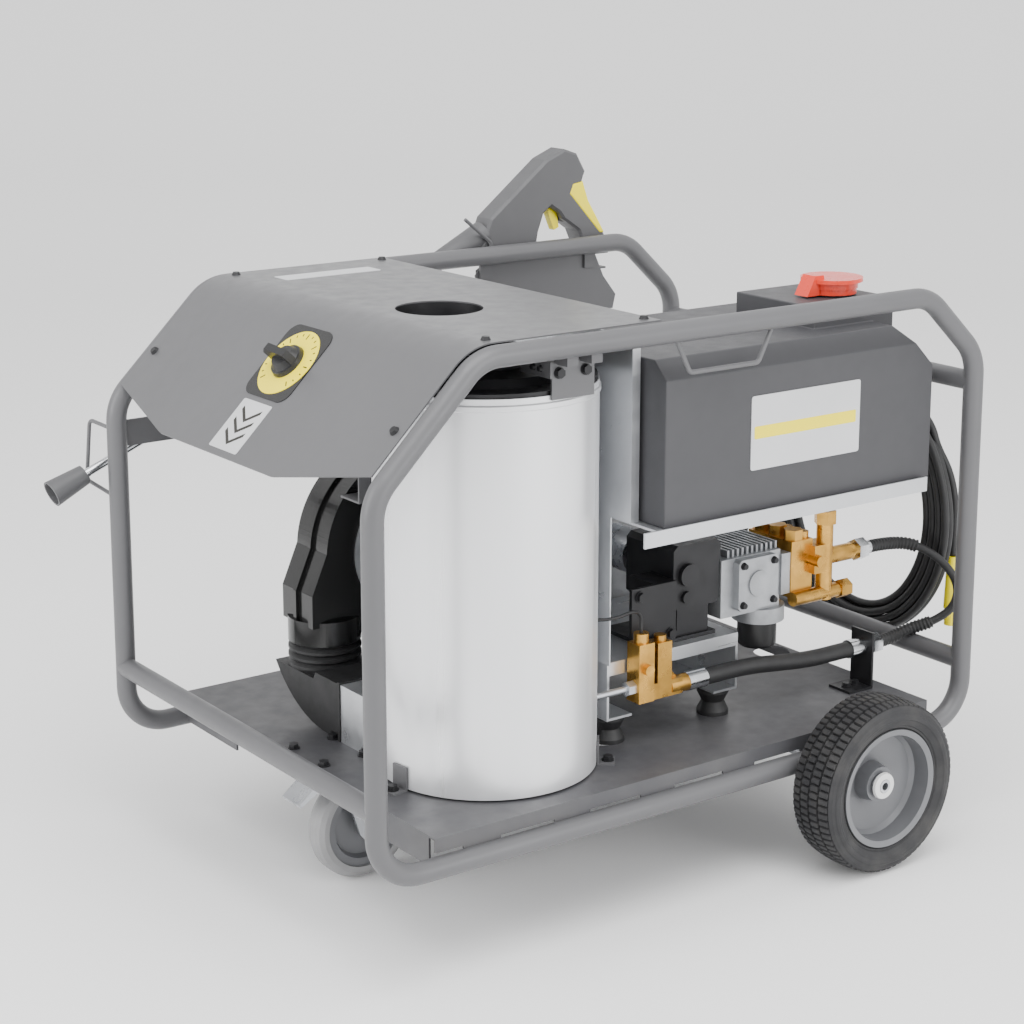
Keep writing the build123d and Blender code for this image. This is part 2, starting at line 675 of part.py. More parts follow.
def pump_head():
    """The brass cylinder head with its valve plugs, riser, outlet and return elbow."""
    head = block((303, 346), (-214, -116), (358, 446))
    for y in (-200, -165, -130):
        head += hex_bar((318, y, 446), (318, y, 462), 26)
        head += rod((338, y, 446), (338, y, 456), 9)
    head += rod((RISER_X, -215, 347), (RISER_X, -215, 474), 13)
    head += hex_bar((RISER_X, -215, 466), (RISER_X, -215, 487), 30)
    head += block((340, 376), (-226, -190), (392, 436))
    head += rod((RISER_X, -215, 413), (425, -215, 413), 13)
    head += rod((425, -215, 413), (433, -215, 413), 11)
    head += rod((345, -236, 413), (345, -214, 413), 9)
    head += rod((303, -218, 357), (402, -218, 357), 11)
    head += hex_bar((396, -218, 357), (418, -218, 357), 25)
    return head


def filter_cup():
    """The black screw-on cup under the pump."""
    cup = rod((262, -185, 286), (262, -185, 325.7), 30)
    cup = chamfer(cup.edges().sort_by(Axis.Z)[0], 4)
    return cup


# ================================================================ water hoses between pump, valve and heater
FEED_START = (109, -240, 279)
BULKHEAD_X = (432, 436)
BULKHEAD_Y = -240
BULKHEAD_Z = 264
FEED_END = (402, BULKHEAD_Y, BULKHEAD_Z)


def hose_bracket():
    """The black bulkhead angle that carries the hose joint."""
    angle = block((387, BULKHEAD_X[1]), (-263, -217), (DECK_TOP, DECK_TOP + 4))
    angle += block(BULKHEAD_X, (-263, -217), (DECK_TOP, 290))
    angle -= rod((420, BULKHEAD_Y, BULKHEAD_Z), (445, BULKHEAD_Y, BULKHEAD_Z), 9)
    return angle


def hose_fittings():
    """Crimped ferrules and screwed nuts at the hose ends."""
    joints = rod((74, -240, 279), FEED_START, 14)
    joints += rod(FEED_END, (BULKHEAD_X[0], BULKHEAD_Y, BULKHEAD_Z), 14.5)
    joints += rod((BULKHEAD_X[0], BULKHEAD_Y, BULKHEAD_Z), (446, BULKHEAD_Y, BULKHEAD_Z), 9)
    joints += rod((BULKHEAD_X[1], BULKHEAD_Y, BULKHEAD_Z), (446, BULKHEAD_Y, BULKHEAD_Z), 13)
    joints += hex_bar((446, BULKHEAD_Y, BULKHEAD_Z), (464, BULKHEAD_Y, BULKHEAD_Z), 30)
    joints += hex_bar((433, -215, 413), (452, -215, 413), 30)
    joints += rod((452, -215, 413), (462, -215, 413), 11)
    return joints


def feed_hose():
    """The thick hose from the bulkhead joint to the flow valve."""
    points = [FEED_START, (192, -240, 279), (319, -240, BULKHEAD_Z), FEED_END]
    return hose("feed_hose", points, 12.5)


def pump_hose():
    """The thin hose that loops from the pump outlet round to the bulkhead joint."""
    points = [
        (462, -215, 413),
        (506, -215, 413),
        (545, -236, 409),
        (574, -266, 386),
        (590, -290, 350),
        (582, -292, 314),
        (558, -274, 290),
        (524, -250, 277),
        (490, BULKHEAD_Y, BULKHEAD_Z),
        (464, BULKHEAD_Y, BULKHEAD_Z),
    ]
    return hose("pump_hose", points, 6.5)


def flow_valve():
    """The brass flow and safety valve beside the heater."""
    valve = block((-24, 4), (-254, -226), (268, 356))
    valve += rod((-10, -240, 356), (-10, -240, 370), 11)
    valve += block((12, 38), (-252, -228), (292, 352))
    valve += rod((25, -240, 352), (25, -240, 361), 9)
    valve += block((-24, 60), (-251, -229), (268, 292))
    valve += rod((40, -240, 279), (74, -240, 279), 13)
    valve += profile_y([(8, 340), (14, 346), (58, 286), (48, 282)], -243, -237)
    valve += rod((-10, -262, 318), (-10, -254, 318), 8)
    return valve


def drum_pipe():
    """The bare pipe from the flow valve into the heater, with its nut."""
    return rod((-110, -240, 290), (-24, -240, 290), 5) + hex_bar((-38, -240, 290), (-24, -240, 290), 19)


def sensor_cable():
    """The thin lead from the heater to the flow switch on the valve."""
    points = [*LEAD_FEEDTHROUGH, (-30, -248, 408), (-10, -240, 396), (-10, -240, 370)]
    return hose("sensor_cable", points, 2.5)


# ================================================================ high-pressure hose
OUTLET_X = 557
OUTLET_Y = 180
OUTLET_TOP = 296
GUARD_X = 628.5
GUARD_Y = -240


def hose_outlet():
    """The brass outlet block on the rear lower bar, with its nipple pointing up."""
    nipple = block((548.5, 566), (164, 196), (246, 278))
    nipple += hex_bar((OUTLET_X, OUTLET_Y, 278), (OUTLET_X, OUTLET_Y, OUTLET_TOP), 24)
    return nipple - rod((CAGE_X, -CAGE_Y, REAR_LOW_BAR_Z), (CAGE_X, CAGE_Y, REAR_LOW_BAR_Z), TUBE_R)


def hose_ends():
    """The two stretches of the high-pressure hose that are outside its coil."""
    lead = [
        (OUTLET_X, OUTLET_Y, OUTLET_TOP),
        (OUTLET_X, OUTLET_Y, 330),
        (566, 176, 366),
        (582, 163, 402),
        (594, 146, 440),
    ]
    tail = [
        (600, -186, 580),
        (613, -210, 552),
        (624, -228, 516),
        (630, -238, 470),
        (GUARD_X, GUARD_Y, 422),
        (GUARD_X, GUARD_Y, 376),
    ]
    return hose("hose_lead", lead, HOSE_R) + hose("hose_tail", tail, HOSE_R) - hose_coil()


def hose_coil():
    """The outer shape of the hung coil: an upright oval ring."""
    outer = Ellipse(COIL_OUTER_Y, COIL_OUTER_Z)
    inner = Ellipse(COIL_OUTER_Y - COIL_THICK, COIL_OUTER_Z - COIL_THICK)
    place = Plane(origin=(COIL_X - COIL_WIDTH / 2, COIL_Y, COIL_Z), x_dir=(0, 1, 0), z_dir=(1, 0, 0))
    return extrude(place * (outer - inner), COIL_WIDTH)


def hose_guard():
    """The yellow bend guard and connector on the loose end of the hose."""
    guard = cone((GUARD_X, GUARD_Y, 376), (GUARD_X, GUARD_Y, 290), 9, 12)
    return guard + rod((GUARD_X, GUARD_Y, 290), (GUARD_X, GUARD_Y, 262), 10)


# ================================================================ gun holder
def gun_holder():
    """The plate that is screwed to two lugs on the far loop, with two rests for the gun."""
    outline = [(129, 794), (150, 822), (372, 822), (396, 770), (423, 736), (417, 712), (160, 712)]
    plate = profile_y(outline, OUTER_Y + 3, OUTER_Y + 6)
    for x in (136, 352):
        plate += block((x, x + 20), (OUTER_Y - 2, OUTER_Y + 3), (788, 822))
    for x, z in ((176, 819), (379, 783)):
        plate += block((x, x + 22), (OUTER_Y + 3, 440), (z, z + 3))
        plate += block((x, x + 22), (437, 440), (z, z + 19))
    wire_y = OUTER_Y + 9
    plate += bent_bar([(165, wire_y, 770), (165, wire_y, 846), (113, wire_y, 888)], [12], 3)
    return clear_of_loops(plate)


# ================================================================ running gear
def axle():
    shaft = rod((WHEEL_X, -440, WHEEL_R), (WHEEL_X, 440, WHEEL_R), AXLE_R, 6)
    for side in (-1, 1):
        shaft += rod((WHEEL_X, side * 430, WHEEL_R), (WHEEL_X, side * 434, WHEEL_R), 17, 6)
    return shaft


def wheel_part(outline, side):
    """A turned wheel part: outline points are (radius, distance outwards from the wheel's middle)."""
    return turned(outline, (WHEEL_X, side * WHEEL_Y, WHEEL_R), (0, side, 0))


def rim(side):
    outline = [
        (AXLE_R + RUNNING_GAP, -34),
        (26, -34),
        (26, -12),
        (76, -2),
        (80, -8),
        (80, -34),
        (RIM_R, -36),
        (RIM_R, -33),
        (83, -31),
        (83, 31),
        (RIM_R, 33),
        (RIM_R, 36),
        (80, 34),
        (78, 8),
        (72, 2),
        (30, -8),
        (26, 14),
        (AXLE_R + RUNNING_GAP, 14),
    ]
    return wheel_part(outline, side)


def tyre(side):
    outline = [
        (83, -30.8),
        (92, -33),
        (100, -40),
        (110, -WHEEL_WIDTH / 2),
        (120, -40),
        (127, -32),
        (WHEEL_R - 0.6, -18),
        (WHEEL_R, 0),
        (WHEEL_R - 0.6, 18),
        (127, 32),
        (120, 40),
        (110, WHEEL_WIDTH / 2),
        (100, 40),
        (92, 33),
        (83, 30.8),
        (83, 24),
        (94, 26),
        (108, 33),
        (119, 24),
        (121, 0),
        (119, -24),
        (108, -33),
        (94, -26),
        (83, -24),
    ]
    return wheel_part(outline, side)


def caster_bolts():
    return [(CASTER_X + dx, dy) for dx in (-33, 33) for dy in (-42, 42)]


def caster_plate():
    """The top plate, raceway and king pin of the caster."""
    under = DECK_TOP - SHEET
    plate = block((CASTER_X - 46, CASTER_X + 46), (-55, 55), (under - 4, under))
    plate += rod((CASTER_X, 0, under - 14), (CASTER_X, 0, under - 4), 32)
    plate += rod((CASTER_X, 0, 166), (CASTER_X, 0, under - 4), CASTER_PIN_R)
    for x, y in caster_bolts():
        plate -= rod((x, y, under - 5), (x, y, under + 1), 4)
    return plate


def caster_fork():
    """The swivelling fork: crown round the king pin and two legs down to the wheel pin."""
    wheel_x = CASTER_X + CASTER_TRAIL
    crown = block((CASTER_X - 34, CASTER_X + 40), (-31, 31), (172, 182.5))
    crown -= rod((CASTER_X, 0, 160), (CASTER_X, 0, 190), CASTER_PIN_R + RUNNING_GAP)
    leg_outline = [
        (CASTER_X - 34, 182.5),
        (CASTER_X + 40, 182.5),
        (wheel_x + 18, 100),
        (wheel_x + 17, 74),
        (wheel_x + 8, 64),
        (wheel_x - 8, 64),
        (wheel_x - 17, 74),
        (wheel_x - 30, 112),
        (CASTER_X - 34, 158),
    ]
    legs = profile_y(leg_outline, 26, 31) + profile_y(leg_outline, -31, -26)
    legs += rod((wheel_x, -36, CASTER_R), (wheel_x, 36, CASTER_R), 6)
    for y in ((-38, -31), (31, 38)):
        legs += hex_bar((wheel_x, y[0], CASTER_R), (wheel_x, y[1], CASTER_R), 17)
    pivot = brake_pivot()
    legs -= rod((pivot[0], -40, pivot[1]), (pivot[0], 40, pivot[1]), 4 + RUNNING_GAP)
    return crown + legs


def brake_pivot():
    return (CASTER_X - 24, 166)


def brake_pedal():
    """The foot brake: a pin through both legs, a tread plate and a shoe above the wheel."""
    x, z = brake_pivot()
    pedal = rod((x, -34, z), (x, 34, z), 4)
    outline = [(x - 40, z - 26), (x - 38, z - 30), (x + 4, z - 7), (x + 6, z + 2), (x - 4, z + 3)]
    pedal += profile_y(outline, -24, 24)
    return pedal


def caster_wheel():
    """The caster's moulded hub, turning on the wheel pin."""
    outline = [
        (6 + RUNNING_GAP, -25.6),
        (13, -25.6),
        (15, -8),
        (46, -5),
        (50, -14),
        (62, -14),
        (62, 14),
        (50, 14),
        (46, 5),
        (15, 8),
        (13, 25.6),
        (6 + RUNNING_GAP, 25.6),
    ]
    return turned(outline, (CASTER_X + CASTER_TRAIL, 0, CASTER_R), (0, 1, 0))


def caster_tyre():
    half = CASTER_WIDTH / 2
    outline = [
        (62, -half),
        (70, -half),
        (77, -half + 4),
        (CASTER_R, -half + 11),
        (CASTER_R, half - 11),
        (77, half - 4),
        (70, half),
        (62, half),
    ]
    return turned(outline, (CASTER_X + CASTER_TRAIL, 0, CASTER_R), (0, 1, 0))


# ================================================================ gun and lance
def lance_point(distance):
    """A point on the lance axis, measured from the mouth of the nozzle guard."""
    angle = math.radians(LANCE_ANGLE)
    x, z = LANCE_TIP
    return (x + distance * math.cos(angle), GUN_Y, z + distance * math.sin(angle))


def gun_shell():
    """The gun's moulded shell: barrel sleeve, body, hand grip and trigger bow."""
    body = [(169, 884), (219, 923), (283, 974), (322, 990), (348, 981), (366, 950), (360, 934)]
    grip_back = [(372, 900), (392, 868), (416, 826), (418, 806)]
    grip_front = [(372, 806), (352, 850), (320, 872), (311, 884), (294, 895), (279, 884)]
    bow = [(268, 854), (262, 822), (205, 826), (150, 838)]
    outline = body + grip_back + grip_front + bow
    shell = profile_y(outline, GUN_Y - 22, GUN_Y + 22)
    shell = chamfer(shell.faces().filter_by(Axis.Y).edges(), 4)
    shell += cone(lance_point(742), lance_point(850), 15, 23)
    guard = profile_y([(262, 830), (270, 822), (376, 800), (376, 808), (276, 832)], GUN_Y - 9, GUN_Y + 9)
    shell += guard
    pivot_x, pivot_z = TRIGGER_PIVOT
    slot = block((286, 330), (GUN_Y - 8.5, GUN_Y + 8.5), (850, 907))
    shell -= slot
    shell -= rod((pivot_x, GUN_Y - 14, pivot_z), (pivot_x, GUN_Y + 14, pivot_z), 3 + RUNNING_GAP)
    shell -= rod(lance_point(741), lance_point(780), 6.5)
    recess = [(361, 944), (360, 934), (339, 930.6), (332, 914), (397, 843), (440, 843), (440, 944)]
    shell -= profile_y(recess, GUN_Y - 30, GUN_Y + 30)
    return shell


def gun_grip():
    """The soft insert down the back of the hand grip."""
    outline = [(360, 934), (339, 930.6), (332, 914), (397, 843), (407, 843), (392, 868), (372, 900)]
    insert = profile_y(outline, GUN_Y - 22, GUN_Y + 22)
    return chamfer(insert.faces().filter_by(Axis.Y).edges(), 1.5)


def gun_trigger():
    """The trigger blade on its pin."""
    x, z = TRIGGER_PIVOT
    trigger = rod((x, GUN_Y - 13, z), (x, GUN_Y + 13, z), 3)
    outline = [
        (x - 6, z + 4),
        (x + 5, z + 4),
        (x + 16, z - 20),
        (x + 20, z - 40),
        (x + 10, z - 44),
        (x - 1, z - 18),
    ]
    return trigger + profile_y(outline, GUN_Y - 7, GUN_Y + 7)


def lance_tube():
    return rod(lance_point(40), lance_point(780), 6.5, 3.5)


def nozzle_guard():
    """The tapered sleeve round the nozzle."""
    sleeve = cone(lance_point(0), lance_point(58), 20.5, 15.5)
    sleeve -= cone(lance_point(-1), lance_point(40), 17.5, 13)
    sleeve -= rod(lance_point(39), lance_point(60), 6.5)
    return sleeve


# ================================================================ fasteners
def bolt(foot, direction, head=6.5, height=5.5, washer=9.0):
    """A hexagon head on its washer, standing on a surface."""
    base = Vector(*foot)
    along = Vector(*direction).normalized()
    solid = rod(tuple(base), tuple(base + along * 1.6), washer)
    return solid + hex_bar(tuple(base + along * 1.6), tuple(base + along * (1.6 + height)), 2 * head)


def button(foot, direction, radius=7.0, height=4.5):
    """A low round screw head."""
    base = Vector(*foot)
    along = Vector(*direction).normalized()
    return cone(tuple(base), tuple(base + along * height), radius, radius * 0.7)


def fasteners():
    """Every screw and bolt head on the machine, as separate solids."""
    heads = Part()
    for x, y in caster_bolts():
        heads += bolt((x, y, DECK_TOP), (0, 0, 1))
    for degrees in FOOT_ANGLES:
        angle = math.radians(degrees)
        reach = DRUM_R + 16
        spot = (DRUM_X + reach * math.cos(angle), DRUM_Y + reach * math.sin(angle), DECK_TOP + SHEET)
        heads += bolt(spot, (0, 0, 1))
    roof_z = CAGE_TOP + TUBE_R + HOOD_SHEET
    out = slope(0, 0, 1) - slope(0, 0, 0)
    for y in (-325, 325):
        heads += button((-341, y, roof_z), (0, 0, 1))
        heads += button((-82, y, roof_z), (0, 0, 1))
        heads += button(tuple(slope(91, y, TUBE_R + HOOD_SHEET)), tuple(out))
    for x in (-221, -177):
        heads += bolt((x, -321, 788), (0, -1, 0), 6.0, 5.0, 8.0)
    for y in (-300, -284):
        heads += button((-235, y, 792), (-1, 0, 0), 5, 4)
    for x in (200, 260):
        for z in (367, 428):
            heads += button((x, PUMP_FACE_Y, z), (0, -1, 0), 6, 6)
    for x, z in ((10, 412), (40, 344), (68, 347)):
        heads += bolt((x, -212, z), (0, -1, 0))
    for x in (402, 420):
        heads += bolt((x, BULKHEAD_Y, DECK_TOP + 4), (0, 0, 1), 6.0, 5.0, 8.0)
    for x in (143, 366):
        heads += bolt((x, OUTER_Y + 6, 798), (0, 1, 0))
    heads += bolt((-492, OUTER_Y + 3, 624), (0, 1, 0))
    return heads


# ================================================================ writing
PARTS = {
    "near_side_loop": hollow_loop(-CAGE_Y),
    "far_side_loop": hollow_loop(CAGE_Y),
    "frame_crossbars": frame_crossbars(),
    "frame_hooks": frame_hooks(),
    "deck": deck(),
    "hood": hood(),
    "dial_plate": dial_plate(),
    "dial_knob": dial_knob(),
    "thermostat_body": thermostat_body(),
    "drum_jacket": drum_jacket(),
    "drum_lid": drum_lid(),
    "flue_collar": flue_collar(),
    "heating_coil": heating_coil(),
    "steel_brackets": steel_brackets(),
    "fasteners": fasteners(),
    "air_box": air_box(),
    "air_boot": air_boot(),
    "blower_near_shell": blower_half(SCROLL_NEAR, 20),
    "blower_far_shell": blower_half(SCROLL_FAR, 62),
    "blower_motor": blower_motor(),
    "blower_fan": blower_fan(),
    "tank": tank(),
    "filler_cap": filler_cap(),
    "tank_tray": tank_tray(),
    "bulkhead_panel": bulkhead_panel(),
    "engine_platform": engine_platform(),
    "rubber_mounts": rubber_mounts(),
    "engine_block": engine_block(),
    "drive_shaft": drive_shaft(),
    "pump_gearbox": pump_gearbox(),
    "pump_crankcase": pump_crankcase(),
    "pump_head": pump_head(),
    "filter_cup": filter_cup(),
    "hose_bracket": hose_bracket(),
    "hose_fittings": hose_fittings(),
    "feed_hose": feed_hose(),
    "pump_hose": pump_hose(),
    "flow_valve": flow_valve(),
    "drum_pipe": drum_pipe(),
    "sensor_cable": sensor_cable(),
    "hose_outlet": hose_outlet(),
    "hose_ends": hose_ends(),
    "hose_coil": hose_coil(),
    "hose_guard": hose_guard(),
    "gun_holder": gun_holder(),
    "axle": axle(),
    "near_rim": rim(-1),
    "far_rim": rim(1),
    "near_tyre": tyre(-1),
    "far_tyre": tyre(1),
    "caster_plate": caster_plate(),
    "caster_fork": caster_fork(),
    "caster_wheel": caster_wheel(),
    "caster_tyre": caster_tyre(),
    "brake_pedal": brake_pedal(),
    "gun_shell": gun_shell(),
    "gun_grip": gun_grip(),
    "gun_trigger": gun_trigger(),
    "lance_tube": lance_tube(),
    "nozzle_guard": nozzle_guard(),
}

os.makedirs("parts", exist_ok=True)
for name, solid in PARTS.items():
    export_step(solid, f"parts/{name}.step")
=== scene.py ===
import math
import bmesh
import bpy
from mathutils import Matrix, Vector


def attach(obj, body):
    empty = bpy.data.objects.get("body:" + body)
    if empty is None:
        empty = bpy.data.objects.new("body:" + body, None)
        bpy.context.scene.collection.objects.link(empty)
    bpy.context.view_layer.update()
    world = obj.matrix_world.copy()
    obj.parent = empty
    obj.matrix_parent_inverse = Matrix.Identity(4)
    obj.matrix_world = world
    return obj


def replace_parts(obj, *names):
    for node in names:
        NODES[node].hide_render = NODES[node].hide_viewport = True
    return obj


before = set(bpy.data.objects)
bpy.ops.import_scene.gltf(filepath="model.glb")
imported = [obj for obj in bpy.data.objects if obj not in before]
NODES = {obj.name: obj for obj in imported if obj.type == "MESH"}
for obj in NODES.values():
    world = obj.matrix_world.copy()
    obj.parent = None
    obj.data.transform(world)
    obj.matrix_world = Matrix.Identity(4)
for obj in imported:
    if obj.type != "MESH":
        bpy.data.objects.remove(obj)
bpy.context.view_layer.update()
MACHINE = "machine"


# ================================================================ camera, light and floor
def camera():
    """The photograph's view: 36 degrees round from the near side, a little from above."""
    azimuth = math.radians(35.83)
    pitch = math.radians(12.44)
    level = math.cos(pitch)
    look = Vector((level * math.sin(azimuth), level * math.cos(azimuth), -math.sin(pitch)))
    data = bpy.data.cameras.new("camera")
    data.sensor_width = 36.0
    data.lens = 36.0 * 2249 / 1024
    data.shift_y = -0.0996
    data.clip_end = 100.0
    obj = bpy.data.objects.new("camera", data)
    obj.location = (-1.961, -2.626, 1.375)
    obj.rotation_euler = look.to_track_quat("-Z", "Y").to_euler()
    bpy.context.scene.collection.objects.link(obj)
    bpy.context.scene.camera = obj


def area_light(name, place, target, size, power):
    data = bpy.data.lights.new(name, "AREA")
    data.shape = "RECTANGLE"
    data.size = size[0]
    data.size_y = size[1]
    data.energy = power
    obj = bpy.data.objects.new(name, data)
    obj.location = place
    aim = Vector(target) - Vector(place)
    obj.rotation_euler = aim.to_track_quat("-Z", "Y").to_euler()
    bpy.context.scene.collection.objects.link(obj)


def studio():
    """White surroundings, three softboxes and a pale floor that runs up into a backdrop."""
    world = bpy.data.worlds.new("studio")
    bpy.context.scene.world = world
    world.use_nodes = True
    background = world.node_tree.nodes["Background"]
    background.inputs["Color"].default_value = (1.0, 1.0, 1.0, 1.0)
    background.inputs["Strength"].default_value = 1.35
    area_light("softbox_top", (-0.6, -1.2, 3.4), (0.0, 0.0, 0.3), (3.0, 2.4), 105)
    area_light("softbox_left", (-3.6, 0.6, 1.8), (0.0, 0.0, 0.4), (1.6, 2.4), 68)
    area_light("softbox_near", (1.2, -4.2, 1.6), (0.1, 0.0, 0.4), (2.4, 2.0), 75)
    profile = [(-9.0, 0.0), (5.0, 0.0), (6.5, 0.25), (7.4, 1.2), (7.8, 3.0), (7.8, 7.0)]
    mesh = bpy.data.meshes.new("floor")
    corners = []
    faces = []
    for row, (depth, height) in enumerate(profile):
        corners += [(-9.0, depth, height), (9.0, depth, height)]
        if row:
            first = 2 * row - 2
            faces.append((first, first + 1, first + 3, first + 2))
    mesh.from_pydata(corners, [], faces)
    floor = bpy.data.objects.new("floor", mesh)
    floor.rotation_euler = (0.0, 0.0, math.radians(-36))
    floor.location.z = -0.0005
    bpy.context.scene.collection.objects.link(floor)
    grain = (60, 0.01, 0.0005)
    tone = (0.5, 0.004)
    mesh.materials.append(surface("floor_paper", (0.93, 0.93, 0.93), 0.95, grain=grain, tone=tone,
                                  rough_spread=0.02))
    for face in mesh.polygons:
        face.use_smooth = True


# ================================================================ materials
def node_of(tree, kind, **settings):
    made = tree.nodes.new(kind)
    for key, value in settings.items():
        setattr(made, key, value)
    return made


def noise(tree, vector, scale, detail=4.0):
    texture = node_of(tree, "ShaderNodeTexNoise")
    texture.inputs["Scale"].default_value = scale
    texture.inputs["Detail"].default_value = detail
    tree.links.new(vector, texture.inputs["Vector"])
    return texture.outputs["Fac"]


def spread(tree, value, low, high, lowest=0.3, highest=0.7):
    """Maps a noise value between lowest and highest onto the range from low to high."""
    reach = node_of(tree, "ShaderNodeMapRange")
    reach.inputs["From Min"].default_value = lowest
    reach.inputs["From Max"].default_value = highest
    reach.inputs["To Min"].default_value = low
    reach.inputs["To Max"].default_value = high
    tree.links.new(value, reach.inputs["Value"])
    return reach.outputs["Result"]


def surface(
    name,
    color,
    rough,
    metal=0.0,
    grain=(700, 0.15, 0.0004),
    tone=(5, 0.06),
    rough_spread=0.08,
    stretch=(1, 1, 1),
    dirt=None,
    coat=0.0,
    specular=0.5,
):
    """A painted, moulded, cast or brushed surface.

    grain is (scale, strength, depth) of the fine bump; tone is (scale, amount) of slow colour change;
    stretch pulls the grain out along an axis; dirt is (colour, scale, amount) of a second tone in patches.
    """
    made = bpy.data.materials.new(name)
    made.use_nodes = True
    tree = made.node_tree
    shader = tree.nodes["Principled BSDF"]
    shader.inputs["Metallic"].default_value = metal
    shader.inputs["Specular IOR Level"].default_value = specular
    shader.inputs["Coat Weight"].default_value = coat
    place = node_of(tree, "ShaderNodeTexCoord").outputs["Object"]
    pulled = node_of(tree, "ShaderNodeMapping")
    pulled.inputs["Scale"].default_value = stretch
    tree.links.new(place, pulled.inputs["Vector"])

    slow = noise(tree, place, tone[0], 3.0)
    blend = node_of(tree, "ShaderNodeMix", data_type="RGBA")
    light = [min(1.0, c * (1 + tone[1])) for c in color]
    dark = [c * (1 - tone[1]) for c in color]
    blend.inputs["A"].default_value = (*dark, 1.0)
    blend.inputs["B"].default_value = (*light, 1.0)
    tree.links.new(spread(tree, slow, 0.0, 1.0), blend.inputs["Factor"])
    shade = blend.outputs["Result"]
    if dirt:
        patches = node_of(tree, "ShaderNodeMix", data_type="RGBA")
        patches.inputs["B"].default_value = (*dirt[0], 1.0)
        tree.links.new(shade, patches.inputs["A"])
        amount = spread(tree, noise(tree, pulled.outputs["Vector"], dirt[1], 6.0), 0.0, dirt[2], 0.45, 0.75)
        tree.links.new(amount, patches.inputs["Factor"])
        shade = patches.outputs["Result"]
    tree.links.new(shade, shader.inputs["Base Color"])

    fine = noise(tree, pulled.outputs["Vector"], grain[0], 2.0)
    low_rough = max(0.02, rough - rough_spread)
    high_rough = min(1.0, rough + rough_spread)
    tree.links.new(spread(tree, noise(tree, pulled.outputs["Vector"], 40, 5.0), low_rough, high_rough),
                   shader.inputs["Roughness"])
    bump = node_of(tree, "ShaderNodeBump")
    bump.inputs["Strength"].default_value = grain[1]
    bump.inputs["Distance"].default_value = grain[2]
    tree.links.new(fine, bump.inputs["Height"])
    tree.links.new(bump.outputs["Normal"], shader.inputs["Normal"])
    return made


def linear(red, green, blue):
    """Linear colour from ordinary screen values of 0 to 255."""
    parts = []
    for value in (red, green, blue):
        share = value / 255
        parts.append(share / 12.92 if share <= 0.04045 else ((share + 0.055) / 1.055) ** 2.4)
    return tuple(parts)


